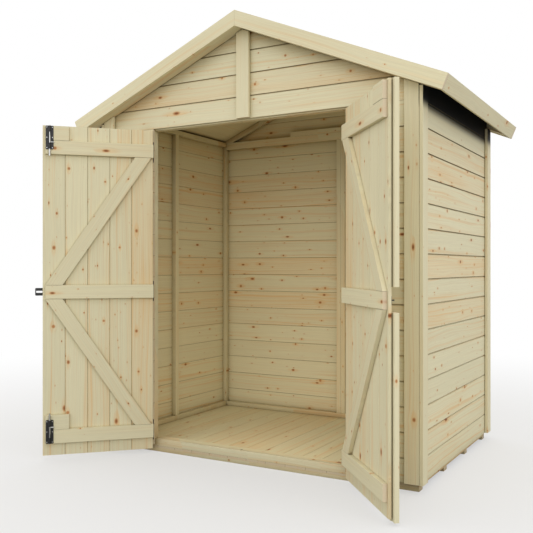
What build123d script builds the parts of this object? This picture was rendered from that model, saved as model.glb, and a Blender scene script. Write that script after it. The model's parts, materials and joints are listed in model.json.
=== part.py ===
from math import atan, cos, degrees, radians, sin, tan
import os

from build123d import *

# A small wooden apex shed with double doors, in millimetres, +Z up.
# The origin is on the ground, under the middle of the front floor bearer.
# +X is to the right for someone who faces the doors, and +Y runs to the back.
# The doors stand open as they are drawn here, and close about their hinge pins.

# Outside of the walls, measured over the corner trims
shed_width = 1830.0
shed_depth = 1240.0

# Timber sections
board_thick = 12.0
board_cover = 112.0
frame_size = 28.0
trim_thick = 18.0
trim_width = 68.0
arris = 1.5
joint_gap = 0.6
seat_gap = 0.3

# Floor
bearer_height = 19.0
bearer_width = 48.0
bearer_count = 4
floor_board_thick = 11.0
floor_board_cover = 110.0
floor_setback = 36.0
bolt_hole_depth = 30.0

# Walls
cladding_bottom = 38.0
first_board_bottom = 34.5
wall_boards = 16
front_boards = 15
gable_boards = 5
cove_height = 7.0
cove_depth = 5.0
inner_groove = 2.0
top_rail_top = 1832.0
back_rail_height = 46.0
short_rail_half = 358.0
short_rail_height = 31.4
side_stud_width = 32.0
post_width = 44.0

# Roof
ridge_height = 2225.0
eave_height = 1784.5
roof_half_width = 1044.0
verge_overhang = 72.0
barge_width = 70.0
barge_thick = 18.0
roof_sheet_thick = 9.5
felt_thick = 2.5
ridge_cap_reach = 160.0
verge_rafter_depth = 50.0
gable_rafter_depth = 32.0
rafter_end_gap = 6.0
cover_strip_half = 36.0

# Doorway and doors
doorway_half = 566.0
doorway_top = 1714.5
head_rail_bottom = 1707.5
head_rail_size = 44.0
sill_height = 37.0
sill_depth = 60.0
door_bottom = 22.5
door_top = 1702.0
door_gap = 5.0
door_board_cover = 112.0
ledge_thick = 19.0
ledge_width = 70.0
ledge_centres = (119.5, 854.0, 1590.0)
ledge_end_gap = 13.0
packer_width = 116.0
packer_height = 73.0
brace_run = 84.0
brace_heel = 7.0
door_joint = 1.0
plate_from_top = 4.0
left_door_opening = 134.2
right_door_opening = 130.6

# Cover strips on the right door
strip_width = 46.0
strip_thick = 24.0
strip_lap = 20.0
strip_rebate = 5.0
strip_drop = 10.0
strip_shoulder = 10.0
strip_break = (808.0, 906.0)

# Steel fittings
hinge_pin_out = 5.0
hinge_pin_radius = 2.0
knuckle_radius = 4.0
knuckle_gap = 0.5
strap_length = 300.0
strap_tip_half = 10.0
strap_nose = 9.0
strap_thick = 3.0
hinge_leaf_height = 106.0
hinge_leaf_width = 34.0
strap_root = 36.0
bolt_plate_width = 38.0
bolt_plate_length = 120.0
bolt_plate_thick = 2.0
bolt_plate_corner = 4.0
bolt_plate_lift = 19.0
bolt_housing_wall = 2.0
bolt_bore_gap = 0.4
bolt_rod_radius = 4.5
bolt_rod_length = 156.0
bolt_handle_radius = 3.0
bolt_handle_reach = 22.0
bolt_handle_from_end = 36.5
bolt_slot_width = 6.5
bolt_slot_length = 56.0
bolt_slot_depth = 8.0
bolt_travel = 30.0
bolt_edge_distance = 34.0
bolt_keep_clearance = 1.5
hasp_height = 39.0
hasp_reach = 37.0
hasp_thick = 2.0
hasp_clearance = 5.0
hasp_corner = 5.0
hasp_slot = (31.0, 10.0)
hasp_slot_corner = 3.0
hasp_plate_length = 39.0
hasp_pin_inset = 22.0
hasp_pin_radius = 1.5
hasp_knuckle_radius = 3.2
hasp_middle_knuckle = 17.0
staple_x = (6.0, 26.0)
staple_wire = 4.5
staple_reach = 15.0
staple_foot_height = 32.0

# Planes that the pieces share, worked out from the sizes above
half_width = shed_width / 2
half_cladding = half_width - trim_thick
half_frame = half_cladding - board_thick
front_face = -(floor_setback + bearer_width / 2)
back_face = front_face + shed_depth
front_cladding = front_face + trim_thick
back_cladding = back_face - trim_thick
front_frame = front_cladding + board_thick
back_frame = back_cladding - board_thick
floor_front = front_face + floor_setback
floor_back = back_face - floor_setback
floor_top = bearer_height + floor_board_thick
frame_bottom = floor_top + joint_gap
sill_top = floor_top + sill_height
roof_pitch = degrees(atan((ridge_height - eave_height) / roof_half_width))
roof_slope = tan(radians(roof_pitch))
roof_cos = cos(radians(roof_pitch))
roof_sin = sin(radians(roof_pitch))
felt_top = felt_thick
sheet_top = 2 * felt_thick
sheet_under = sheet_top + roof_sheet_thick
gable_under = sheet_under + 2.0
rafter_top = sheet_under + 1.5
door_width = doorway_half - door_gap * 1.5
door_height = door_top - door_bottom
pin_x = doorway_half - door_gap / 2
pin_y = front_cladding - hinge_pin_out


def roof_z(x, depth=0.0):
    """Height of the roof at x, at a depth measured square to the slope."""
    return ridge_height - abs(x) * roof_slope - depth / roof_cos


def timber(x_range, y_range, z_range):
    """Add one straight planed timber to the part that is open."""
    size = [high - low for low, high in (x_range, y_range, z_range)]
    middle = [(high + low) / 2 for low, high in (x_range, y_range, z_range)]
    with Locations(tuple(middle)):
        Box(*size)


def lapped_boards(start, outward, length, first, count):
    """Shiplap cladding as one solid, from its true section run along the wall."""
    wall_plane = Plane(origin=start, x_dir=outward, z_dir=Vector(outward).cross(Vector(0, 0, 1)))
    foot = max(first, cladding_bottom)
    with BuildPart() as wall:
        with BuildSketch(wall_plane):
            with BuildLine():
                corner = Line((-board_thick, foot), (0, foot)) @ 1
                for k in range(count):
                    joint = first + (k + 1) * board_cover
                    face_end = (0, joint - cove_height)
                    Line(corner, face_end)
                    if k < count - 1:
                        deep = (-cove_depth, joint)
                        bow = (-cove_depth * 0.72, joint - cove_height * 0.62)
                        ThreePointArc(face_end, bow, deep)
                        corner = Line(deep, (0, joint)) @ 1
                top = first + count * board_cover
                Line(face_end, (0, top))
                corner = Line((0, top), (-board_thick, top)) @ 1
                for k in reversed(range(count - 1)):
                    joint = first + (k + 1) * board_cover
                    start_of_groove = (-board_thick, joint + inner_groove)
                    Line(corner, start_of_groove)
                    bottom_of_groove = (-board_thick + inner_groove, joint)
                    end_of_groove = (-board_thick, joint - inner_groove)
                    Polyline(start_of_groove, bottom_of_groove, end_of_groove)
                    corner = end_of_groove
                Line(corner, (-board_thick, foot))
            make_face()
        extrude(amount=length)
    return wall.part


def grooved_panel(plane, width, thick, length, cover, both_faces):
    """Tongued and grooved boards as one solid with a V at each joint."""
    joints = int(width / cover + 0.02)
    first = (width - joints * cover) / 2
    marks = [first + k * cover for k in range(joints + 1)]
    marks = [m for m in marks if inner_groove < m < width - inner_groove]
    with BuildPart() as panel:
        with BuildSketch(plane):
            with Locations((width / 2, thick / 2)):
                Rectangle(width, thick)
            faces = (thick, 0) if both_faces else (thick,)
            for face in faces:
                with Locations(*[(m, face) for m in marks]):
                    Rectangle(inner_groove * 1.5, inner_groove * 1.5, rotation=45, mode=Mode.SUBTRACT)
        extrude(amount=length)
    return panel.part


def swung(part, side, opening):
    """Turn a piece of a closed door about its hinge pin to where it stands open."""
    pin = Axis((side * pin_x, pin_y, 0), (0, 0, 1))
    return part.rotate(pin, side * opening)


def finish(part, name):
    """Label one piece and write it as a STEP file."""
    part.label = name
    export_step(part, "parts/" + name + ".step")


os.makedirs("parts", exist_ok=True)

# Floor: four bearers from side to side, with grooved boards from front to back
bearer_pitch = (floor_back - floor_front - bearer_width) / (bearer_count - 1)
with BuildPart() as floor_bearers:
    for k in range(bearer_count):
        start = floor_front + k * bearer_pitch
        timber((-half_frame, half_frame), (start, start + bearer_width), (0, bearer_height))
finish(floor_bearers.part, "floor_bearers")

floor_plane = Plane(
    origin=(-half_frame, floor_front, bearer_height), x_dir=(1, 0, 0), z_dir=(0, -1, 0)
)
floor_boards = grooved_panel(
    floor_plane,
    2 * half_frame,
    floor_board_thick,
    -(floor_back - floor_front),
    floor_board_cover,
    False,
)
finish(floor_boards, "floor_boards")

# Sill across the doorway, with a hole for the lower bolt
bolt_x = -(door_gap / 2 + bolt_edge_distance)
bolt_y = front_frame + ledge_thick + bolt_plate_thick + bolt_bore_gap + bolt_rod_radius
with BuildPart() as door_sill:
    timber(
        (-doorway_half + joint_gap, doorway_half - joint_gap),
        (floor_front, floor_front + sill_depth),
        (frame_bottom, sill_top),
    )
    chamfer(door_sill.edges().group_by(Axis.Z)[-1].filter_by(Axis.X), arris)
    with Locations((bolt_x, bolt_y, sill_top)):
        Hole(bolt_rod_radius + bolt_keep_clearance, depth=bolt_hole_depth)
finish(door_sill.part, "door_sill")

# Side walls: shiplap on a frame of studs and rails
side_length = back_cladding - front_cladding
side_starts = {-1: front_cladding, 1: back_cladding}
for side, name in ((-1, "left"), (1, "right")):
    with BuildPart() as side_cladding:
        start = (side * half_cladding, side_starts[side], 0)
        add(lapped_boards(start, (side, 0, 0), side_length, first_board_bottom, wall_boards))
        with BuildSketch(Plane.XZ.offset(-front_cladding)):
            with BuildLine():
                inner = side * half_frame
                outer = side * half_cladding
                Polyline(
                    (inner, 0),
                    (outer, 0),
                    (outer, roof_z(outer, gable_under)),
                    (inner, roof_z(inner, gable_under)),
                    close=True,
                )
            make_face()
        extrude(amount=-side_length, mode=Mode.INTERSECT)
    finish(side_cladding.part, name + "_wall_cladding")

    inside = side * (half_frame - frame_size)
    x_range = (min(inside, side * half_frame), max(inside, side * half_frame))
    rail_y = (front_frame + frame_size + joint_gap, back_frame - frame_size - joint_gap)
    middle_y = (front_face + back_face) / 2
    stud_z = (frame_bottom + frame_size + joint_gap, top_rail_top - frame_size - joint_gap)
    with BuildPart() as side_frame:
        timber(x_range, rail_y, (frame_bottom, frame_bottom + frame_size))
        timber(x_range, rail_y, (top_rail_top - frame_size, top_rail_top))
        timber(x_range, (middle_y - side_stud_width / 2, middle_y + side_stud_width / 2), stud_z)
    finish(side_frame.part, name + "_wall_frame")

# Back wall: one run of shiplap up to the ridge, on a frame with a double middle stud
# and a short rail that stands on the top rail
with BuildPart() as back_wall_cladding:
    add(
        lapped_boards(
            (-half_frame + joint_gap, back_cladding, 0),
            (0, 1, 0),
            2 * (half_frame - joint_gap),
            first_board_bottom,
            front_boards + gable_boards,
        )
    )
    with BuildSketch(Plane.XZ.offset(-back_frame)):
        with BuildLine():
            Polyline(
                (-half_frame, 0),
                (half_frame, 0),
                (half_frame, roof_z(half_frame, gable_under)),
                (0, roof_z(0, gable_under)),
                (-half_frame, roof_z(half_frame, gable_under)),
                close=True,
            )
        make_face()
    extrude(amount=-board_thick, mode=Mode.INTERSECT)
finish(back_wall_cladding.part, "back_wall_cladding")

back_y = (back_frame - frame_size, back_frame)
rail_x = half_frame - joint_gap
with BuildPart() as back_wall_frame:
    timber((-rail_x, rail_x), back_y, (frame_bottom, frame_bottom + frame_size))
    timber((-rail_x, rail_x), back_y, (top_rail_top - back_rail_height, top_rail_top))
    low = frame_bottom + frame_size + joint_gap
    high = top_rail_top - back_rail_height - joint_gap
    stud_half = frame_size / 2
    beside = stud_half + joint_gap / 2
    for centre in (-rail_x + stud_half, -beside, beside, rail_x - stud_half):
        timber((centre - stud_half, centre + stud_half), back_y, (low, high))
    short_low = top_rail_top + joint_gap
    timber((-short_rail_half, short_rail_half), back_y, (short_low, short_low + short_rail_height))
finish(back_wall_frame.part, "back_wall_frame")

# Front wall: shiplap on each side of the doorway, and over it up to the ridge
front_panel = half_frame - joint_gap - doorway_half
for side, name in ((-1, "left"), (1, "right")):
    start_x = doorway_half + front_panel if side > 0 else -doorway_half
    with BuildPart() as front_cladding_part:
        add(
            lapped_boards(
                (start_x, front_cladding, 0), (0, -1, 0), front_panel, first_board_bottom, front_boards
            )
        )
    finish(front_cladding_part.part, "front_" + name + "_cladding")

gable_first = first_board_bottom + front_boards * board_cover
with BuildPart() as front_gable_cladding:
    add(
        lapped_boards(
            (half_frame - joint_gap, front_cladding, 0),
            (0, -1, 0),
            2 * (half_frame - joint_gap),
            gable_first + joint_gap,
            gable_boards,
        )
    )
    with BuildSketch(Plane.XZ.offset(-front_cladding)):
        with BuildLine():
            Polyline(
                (-half_frame, gable_first),
                (half_frame, gable_first),
                (half_frame, roof_z(half_frame, gable_under)),
                (0, roof_z(0, gable_under)),
                (-half_frame, roof_z(half_frame, gable_under)),
                close=True,
            )
        make_face()
    extrude(amount=-board_thick, mode=Mode.INTERSECT)
finish(front_gable_cladding.part, "front_gable_cladding")

front_y = (front_frame, front_frame + frame_size)
with BuildPart() as front_wall_frame:
    for side in (-1, 1):
        jamb = (side * doorway_half, side * (doorway_half + post_width))
        corner = (side * (half_frame - post_width), side * (half_frame - joint_gap))
        stud_top = head_rail_bottom - joint_gap
        corner_top = roof_z(half_frame, rafter_top + gable_rafter_depth) - joint_gap
        timber((min(jamb), max(jamb)), front_y, (frame_bottom, stud_top))
        timber((min(corner), max(corner)), front_y, (frame_bottom, corner_top))
        between = (jamb[1] + side * joint_gap, corner[0] - side * joint_gap)
        x_range = (min(between), max(between))
        timber(x_range, front_y, (frame_bottom, frame_bottom + frame_size))
        timber(x_range, front_y, (stud_top - frame_size, stud_top))
finish(front_wall_frame.part, "front_wall_frame")

# Rail over the doorway, with a hole for the upper bolt
with BuildPart() as door_head_rail:
    timber(
        (-half_frame + post_width + joint_gap, half_frame - post_width - joint_gap),
        (front_frame, front_frame + head_rail_size),
        (head_rail_bottom, head_rail_bottom + head_rail_size),
    )
    with Locations((bolt_x, bolt_y, head_rail_bottom)):
        Cylinder(bolt_rod_radius + bolt_keep_clearance, 2 * bolt_hole_depth, mode=Mode.SUBTRACT)
finish(door_head_rail.part, "door_head_rail")


def sloping_pair(y_range, top_depth, depth, outer_x, inner_x=0.0):
    """A pair of timbers that follow the roof slope and meet in a mitre at the ridge."""
    y_low, y_high = y_range
    with BuildPart() as pair:
        for side in (-1, 1):
            with BuildSketch(Plane.XZ.offset(-y_low)):
                with BuildLine():
                    foot = side * outer_x
                    head = side * inner_x
                    drop_x = side * depth * roof_sin
                    Polyline(
                        (head, roof_z(head, top_depth)),
                        (foot, roof_z(foot, top_depth)),
                        (foot - drop_x, roof_z(foot, top_depth) - depth * roof_cos),
                        (head, roof_z(head, top_depth + depth)),
                        close=True,
                    )
                make_face()
            extrude(amount=-(y_high - y_low))
    return pair.part


seat_z = top_rail_top + joint_gap
seat_x = (ridge_height - (rafter_top + gable_rafter_depth) / roof_cos - seat_z) / roof_slope
rafter_foot = half_frame - rafter_end_gap
for name, y_range in (("front", front_y), ("back", back_y)):
    with BuildPart() as gable_rafters:
        for side in (-1, 1):
            with BuildSketch(Plane.XZ.offset(-y_range[0])):
                with BuildLine():
                    Polyline(
                        (side * joint_gap, roof_z(joint_gap, rafter_top)),
                        (side * rafter_foot, roof_z(rafter_foot, rafter_top)),
                        (side * rafter_foot, seat_z),
                        (side * seat_x, seat_z),
                        (side * joint_gap, roof_z(joint_gap, rafter_top + gable_rafter_depth)),
                        close=True,
                    )
                make_face()
            extrude(amount=-frame_size)
    finish(gable_rafters.part, name + "_gable_rafters")

# Roof: two sheets with mineral felt, verge rafters, bargeboards and eave fascias
verge_front = front_face - verge_overhang
verge_back = back_face + verge_overhang
sheet_y = (verge_front + barge_thick + joint_gap, verge_back - barge_thick - joint_gap)
fascia_inner = roof_half_width - barge_thick * roof_cos - joint_gap
for side, name in ((-1, "left"), (1, "right")):
    with BuildPart() as roof_sheet:
        with BuildSketch(Plane.XZ.offset(-sheet_y[0])):
            with BuildLine():
                head = side * joint_gap
                foot = side * (fascia_inner - sheet_top * roof_sin)
                slip = side * roof_sheet_thick * roof_sin
                Polyline(
                    (head, roof_z(head, sheet_top)),
                    (foot, roof_z(foot, sheet_top)),
                    (foot - slip, roof_z(foot, sheet_top) - roof_sheet_thick * roof_cos),
                    (head, roof_z(head, sheet_under)),
                    close=True,
                )
            make_face()
        extrude(amount=-(sheet_y[1] - sheet_y[0]))
    finish(roof_sheet.part, name + "_roof_sheet")

# Felt: a sheet on each slope, and a capping strip over the ridge whose two halves meet at its fold
felt_body = felt_thick - seat_gap
felt_foot = fascia_inner - felt_top * roof_sin
with BuildPart() as roof_felt:
    add(sloping_pair(sheet_y, felt_top, felt_body, felt_foot, joint_gap))
    add(sloping_pair(sheet_y, 0.0, felt_body, ridge_cap_reach, joint_gap / 2))
finish(roof_felt.part, "roof_felt")

verge_y_front = (verge_front + barge_thick + joint_gap, front_cladding - 4)
verge_y_back = (back_cladding + 4, verge_back - barge_thick - joint_gap)
verge_foot = fascia_inner - (sheet_under + 0.5) * roof_sin
for name, y_range in (("front", verge_y_front), ("back", verge_y_back)):
    with BuildPart() as verge_rafters:
        add(sloping_pair(y_range, sheet_under + 0.5, verge_rafter_depth, verge_foot, joint_gap))
    finish(verge_rafters.part, name + "_verge_rafters")

barge_y_front = (verge_front, verge_front + barge_thick)
barge_y_back = (verge_back - barge_thick, verge_back)
for name, y_range in (("front", barge_y_front), ("back", barge_y_back)):
    with BuildPart() as bargeboards:
        add(sloping_pair(y_range, 0.0, barge_width, roof_half_width, joint_gap / 2))
    finish(bargeboards.part, name + "_bargeboards")

with BuildPart() as eave_fascias:
    for side in (-1, 1):
        with BuildSketch(Plane.XZ.offset(-barge_y_front[1] - joint_gap)):
            with BuildLine():
                top_out = (side * roof_half_width, roof_z(roof_half_width))
                drop = (-side * barge_width * roof_sin, -barge_width * roof_cos)
                inward = (-side * barge_thick * roof_cos, barge_thick * roof_sin)
                Polyline(
                    top_out,
                    (top_out[0] + drop[0], top_out[1] + drop[1]),
                    (top_out[0] + drop[0] + inward[0], top_out[1] + drop[1] + inward[1]),
                    (top_out[0] + inward[0], top_out[1] + inward[1]),
                    close=True,
                )
            make_face()
        extrude(amount=-(barge_y_back[0] - barge_y_front[1] - 2 * joint_gap))
finish(eave_fascias.part, "eave_fascias")

# Corner trims: a flat board on each face, the side one lapping the front one's edge
for name, face, inward in (("front", front_face, 1), ("back", back_face, -1)):
    with BuildPart() as corner_trims:
        for side in (-1, 1):
            flat_x = (side * (half_cladding - joint_gap), side * (half_cladding - joint_gap - trim_width))
            flat_y = (face, face + inward * (trim_thick - joint_gap))
            side_y = (face, face + inward * trim_width)
            side_x = (side * (half_cladding + joint_gap), side * half_width)
            under_verge = gable_under + verge_rafter_depth
            with BuildSketch(Plane.XZ.offset(-min(flat_y))):
                with BuildLine():
                    Polyline(
                        (flat_x[0], cladding_bottom),
                        (flat_x[1], cladding_bottom),
                        (flat_x[1], roof_z(flat_x[1], under_verge)),
                        (flat_x[0], roof_z(flat_x[0], under_verge)),
                        close=True,
                    )
                make_face()
            extrude(amount=-(trim_thick - joint_gap))
            side_top = roof_z(half_width, under_verge)
            timber((min(side_x), max(side_x)), (min(side_y), max(side_y)), (cladding_bottom, side_top))
        chamfer(corner_trims.edges().filter_by(Axis.Z), arris)
    finish(corner_trims.part, name + "_corner_trims")

strip_bottom = doorway_top + 2
with BuildPart() as gable_cover_strip:
    with BuildSketch(Plane.XZ.offset(-front_face)):
        with BuildLine():
            apex = roof_z(0, gable_under + verge_rafter_depth + 1)
            shoulder = roof_z(cover_strip_half, gable_under + verge_rafter_depth + 1)
            Polyline(
                (-cover_strip_half, strip_bottom),
                (cover_strip_half, strip_bottom),
                (cover_strip_half, shoulder),
                (0, apex),
                (-cover_strip_half, shoulder),
                close=True,
            )
        make_face()
    extrude(amount=-(trim_thick - joint_gap))
    chamfer(gable_cover_strip.edges().group_by(Axis.Y)[0].filter_by(Axis.Z), arris)
finish(gable_cover_strip.part, "gable_cover_strip")


def door_pieces(side, opening, name):
    """Boards, ledges, braces and packers of one door, drawn closed and then swung open."""
    hinge_x = side * (doorway_half - door_gap)
    free_x = side * door_gap / 2
    low_x, high_x = min(hinge_x, free_x), max(hinge_x, free_x)
    board_plane = Plane(
        origin=(low_x, front_cladding, door_bottom), x_dir=(1, 0, 0), z_dir=(0, 0, 1)
    )
    boards = grooved_panel(board_plane, door_width, board_thick, door_height, door_board_cover, True)
    finish(swung(boards, side, opening), name + "_boards")

    ledge_end = free_x + side * ledge_end_gap
    ledge_x = (min(hinge_x, ledge_end), max(hinge_x, ledge_end))
    face_y = (front_frame + seat_gap, front_frame + ledge_thick)
    with BuildPart() as ledges:
        for centre in ledge_centres:
            timber(ledge_x, face_y, (centre - ledge_width / 2, centre + ledge_width / 2))
        chamfer(ledges.edges().group_by(Axis.Y)[-1].filter_by(Axis.X), arris)
    finish(swung(ledges.part, side, opening), name + "_ledges")

    reach = ledge_width / 2 + door_joint
    with BuildPart() as braces:
        for low, high, hinge_end_low in (
            (ledge_centres[0] + reach, ledge_centres[1] - reach, True),
            (ledge_centres[1] + reach, ledge_centres[2] - reach, False),
        ):
            at_hinge = hinge_x - side * (door_gap + brace_heel)
            at_free = ledge_end
            toward_free = -side * brace_run
            z_hinge, z_free = (low, high) if hinge_end_low else (high, low)
            with BuildSketch(Plane.XZ.offset(-face_y[0])):
                with BuildLine():
                    Polyline(
                        (at_hinge, z_hinge),
                        (at_hinge + toward_free, z_hinge),
                        (at_free, z_free),
                        (at_free - toward_free, z_free),
                        close=True,
                    )
                make_face()
            extrude(amount=-(face_y[1] - face_y[0]))
    finish(swung(braces.part, side, opening), name + "_braces")

    packer_end = ledge_end + side * packer_width
    packer_x = (min(ledge_end, packer_end), max(ledge_end, packer_end))
    top_packer = (ledge_centres[2] + reach, door_top - plate_from_top)
    low_packer = (ledge_centres[0] + reach, ledge_centres[0] + reach + packer_height)
    with BuildPart() as packers:
        timber(packer_x, face_y, top_packer)
        if side < 0:
            timber(packer_x, face_y, low_packer)
    finish(swung(packers.part, side, opening), name + "_bolt_packers")


door_pieces(-1, left_door_opening, "left_door")
door_pieces(1, right_door_opening, "right_door")

# Cover strips on the outside of the right door, rebated where they lap the left door
with BuildPart() as right_door_cover_strips:
    for low, high in ((door_bottom - strip_drop, strip_break[0]), (strip_break[1], door_top)):
        with BuildSketch(Plane.XY.offset(low)):
            with BuildLine():
                free = door_gap / 2
                edge = free - strip_lap
                deep = free + strip_shoulder
                Polyline(
                    (edge, front_cladding - strip_rebate),
                    (edge, front_cladding - strip_thick),
                    (edge + strip_width, front_cladding - strip_thick),
                    (edge + strip_width, front_cladding - seat_gap),
                    (deep, front_cladding - seat_gap),
                    (deep, front_cladding - strip_rebate),
                    close=True,
                )
            make_face()
        extrude(amount=high - low)
finish(swung(right_door_cover_strips.part, 1, right_door_opening), "right_door_cover_strips")

# Tee hinges: a leaf on the wall that holds the pin, and a tapered strap on the door
hinge_half = hinge_leaf_height / 2
root_half = strap_root / 2
knuckle_height = hinge_half - root_half - knuckle_gap
web_thick = strap_thick - seat_gap
web_y = front_cladding - strap_thick + web_thick / 2
with BuildPart() as hinge_leaves:
    for side in (-1, 1):
        for centre in ledge_centres:
            leaf_x = (side * (pin_x + knuckle_radius + 1), side * (pin_x + hinge_leaf_width))
            leaf_y = (front_cladding - strap_thick, front_cladding - seat_gap)
            timber((min(leaf_x), max(leaf_x)), leaf_y, (centre - hinge_half, centre + hinge_half))
            for low in (centre - hinge_half, centre + root_half + knuckle_gap):
                with BuildSketch(Plane.XY.offset(low)):
                    with Locations((side * pin_x, pin_y)):
                        Circle(knuckle_radius)
                    with Locations((side * (pin_x + knuckle_radius / 2 + 1), web_y)):
                        Rectangle(knuckle_radius + 2, web_thick)
                extrude(amount=knuckle_height)
            with BuildSketch(Plane.XY.offset(centre - root_half - 2)):
                with Locations((side * pin_x, pin_y)):
                    RegularPolygon(hinge_pin_radius, 8)
            extrude(amount=strap_root + 4)
finish(hinge_leaves.part, "hinge_leaves")

for side, name, opening in (
    (-1, "left_door", left_door_opening),
    (1, "right_door", right_door_opening),
):
    with BuildPart() as hinge_straps:
        for centre in ledge_centres:
            with BuildSketch(Plane.XY.offset(centre - root_half)):
                with Locations((side * pin_x, pin_y)):
                    Circle(knuckle_radius)
                with Locations((side * (pin_x - knuckle_radius - 1), web_y)):
                    Rectangle(2 * knuckle_radius + 2, web_thick)
            extrude(amount=strap_root)
            with BuildSketch(Plane.XZ.offset(-(front_cladding - strap_thick))):
                with BuildLine():
                    root = side * (pin_x - knuckle_radius)
                    tip = side * (pin_x - strap_length)
                    tip_low = (tip, centre - strap_tip_half)
                    tip_high = (tip, centre + strap_tip_half)
                    nose = (tip - side * strap_nose, centre)
                    Polyline(tip_low, (root, centre - root_half), (root, centre + root_half), tip_high)
                    ThreePointArc(tip_high, nose, tip_low)
                make_face()
            extrude(amount=-web_thick)
            with Locations((side * pin_x, pin_y, centre)):
                Cylinder(hinge_pin_radius + seat_gap, strap_root + 10, mode=Mode.SUBTRACT)
    finish(swung(hinge_straps.part, side, opening), name + "_hinge_straps")

# Tower bolts on the left door: a plate with an arched housing that is open in an L,
# so that the bright rod shows and its side handle can travel
plate_y = front_frame + ledge_thick
bore_radius = bolt_rod_radius + bolt_bore_gap
arch_radius = bore_radius + bolt_housing_wall
arch_front = bolt_y + arch_radius
upper_plate = (door_top - plate_from_top - bolt_plate_length, door_top - plate_from_top)
lower_plate = (sill_top + bolt_plate_lift, sill_top + bolt_plate_lift + bolt_plate_length)
with BuildPart() as bolt_plates:
    for (low, high), way in ((upper_plate, 1), (lower_plate, -1)):
        with BuildSketch(Plane.XZ.offset(-(plate_y + seat_gap))):
            with Locations((bolt_x, (low + high) / 2)):
                RectangleRounded(bolt_plate_width, bolt_plate_length, bolt_plate_corner)
        extrude(amount=-(bolt_plate_thick - seat_gap))
        with BuildSketch(Plane.XY.offset(low + arris)):
            with Locations((bolt_x, bolt_y)):
                Circle(arch_radius)
            with Locations((bolt_x, (plate_y + 1 + bolt_y) / 2)):
                Rectangle(2 * arch_radius, bolt_y - plate_y - 1)
            with Locations((bolt_x, bolt_y)):
                Circle(bore_radius, mode=Mode.SUBTRACT)
        extrude(amount=bolt_plate_length - 2 * arris)
        handle_z = (low if way > 0 else high) + way * bolt_handle_from_end
        slot_end = handle_z - way * (bolt_handle_radius + 1)
        with Locations((bolt_x, arch_front, slot_end + way * bolt_slot_length / 2)):
            Box(bolt_slot_width, bolt_slot_depth, bolt_slot_length, mode=Mode.SUBTRACT)
        gate_length = bolt_travel + 2 * (bolt_handle_radius + 1)
        gate_floor = bolt_y - bolt_handle_radius - bolt_bore_gap
        with Locations((bolt_x - arch_radius, arch_front, slot_end + way * gate_length / 2)):
            Box(2 * arch_radius, 2 * (arch_front - gate_floor), gate_length, mode=Mode.SUBTRACT)
finish(swung(bolt_plates.part, -1, left_door_opening), "left_door_bolt_plates")

bolt_rods = (
    ("top_bolt_rod", door_top - door_joint - bolt_rod_length, 1, upper_plate[0] + bolt_handle_from_end),
    ("bottom_bolt_rod", lower_plate[0] - 2 * door_joint, -1, lower_plate[1] - bolt_handle_from_end),
)
for name, low, way, handle_z in bolt_rods:
    with BuildPart() as rod:
        with Locations((bolt_x, bolt_y, low + bolt_rod_length / 2)):
            Cylinder(bolt_rod_radius, bolt_rod_length)
        tip_edges = rod.edges().group_by(Axis.Z)[-1 if way > 0 else 0]
        chamfer(tip_edges, arris)
        with BuildSketch(Plane.YZ.offset(bolt_x)):
            with Locations((bolt_y, handle_z)):
                Circle(bolt_handle_radius)
        extrude(amount=-bolt_handle_reach)
    finish(swung(rod.part, -1, left_door_opening), name)

# Hasp on the left door: a plate with two knuckles and a pin, and a slotted strap between them
hasp_z = ledge_centres[1] + 1
hasp_out = front_cladding - hasp_clearance
hasp_pin_x = -(door_gap / 2 + hasp_pin_inset)
hasp_pin_y = hasp_out - hasp_thick / 2
hasp_knuckle_half = hasp_middle_knuckle / 2 + knuckle_gap
with BuildPart() as hasp_plate:
    plate_x = (hasp_pin_x - hasp_plate_length - 1, hasp_pin_x - 1)
    plate_z = (hasp_z - hasp_height / 2, hasp_z + hasp_height / 2)
    timber(plate_x, (front_cladding - hasp_thick, front_cladding - seat_gap), plate_z)
    for low, high in ((-hasp_height / 2, -hasp_knuckle_half), (hasp_knuckle_half, hasp_height / 2)):
        web_x = hasp_pin_x - hasp_knuckle_radius
        with BuildSketch(Plane.XY.offset(hasp_z + low)):
            with Locations((hasp_pin_x, hasp_pin_y)):
                Circle(hasp_knuckle_radius)
            with BuildLine():
                Polyline(
                    (web_x, hasp_pin_y),
                    (hasp_pin_x, hasp_pin_y),
                    (hasp_pin_x - 1, front_cladding - seat_gap),
                    (web_x - 1, front_cladding - seat_gap),
                    close=True,
                )
            make_face()
        extrude(amount=high - low)
    with BuildSketch(Plane.XY.offset(hasp_z - hasp_height / 2 + 2)):
        with Locations((hasp_pin_x, hasp_pin_y)):
            RegularPolygon(hasp_pin_radius, 8)
    extrude(amount=hasp_height - 4)
finish(swung(hasp_plate.part, -1, left_door_opening), "hasp_plate")

with BuildPart() as hasp_strap:
    with BuildSketch(Plane.XY.offset(hasp_z - hasp_middle_knuckle / 2)):
        with Locations((hasp_pin_x, hasp_pin_y)):
            Circle(hasp_knuckle_radius)
    extrude(amount=hasp_middle_knuckle)
    with BuildSketch(Plane.XZ.offset(-(hasp_out - hasp_thick))):
        strap_end = -door_gap / 2 + hasp_reach
        strap_start = hasp_pin_x + hasp_knuckle_radius + 3
        with Locations(((strap_start + strap_end) / 2, hasp_z)):
            RectangleRounded(strap_end - strap_start, hasp_height, hasp_corner)
        with Locations(((strap_start + hasp_pin_x) / 2 + 2, hasp_z)):
            Rectangle(strap_start - hasp_pin_x + 2, hasp_middle_knuckle)
        with Locations((strap_end - hasp_corner - hasp_slot[0] / 2, hasp_z)):
            RectangleRounded(hasp_slot[0], hasp_slot[1], hasp_slot_corner, mode=Mode.SUBTRACT)
    extrude(amount=-hasp_thick)
    with Locations((hasp_pin_x, hasp_pin_y, hasp_z)):
        Cylinder(hasp_pin_radius + seat_gap, 2 * hasp_middle_knuckle, mode=Mode.SUBTRACT)
finish(swung(hasp_strap.part, -1, left_door_opening), "hasp_strap")

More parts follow.
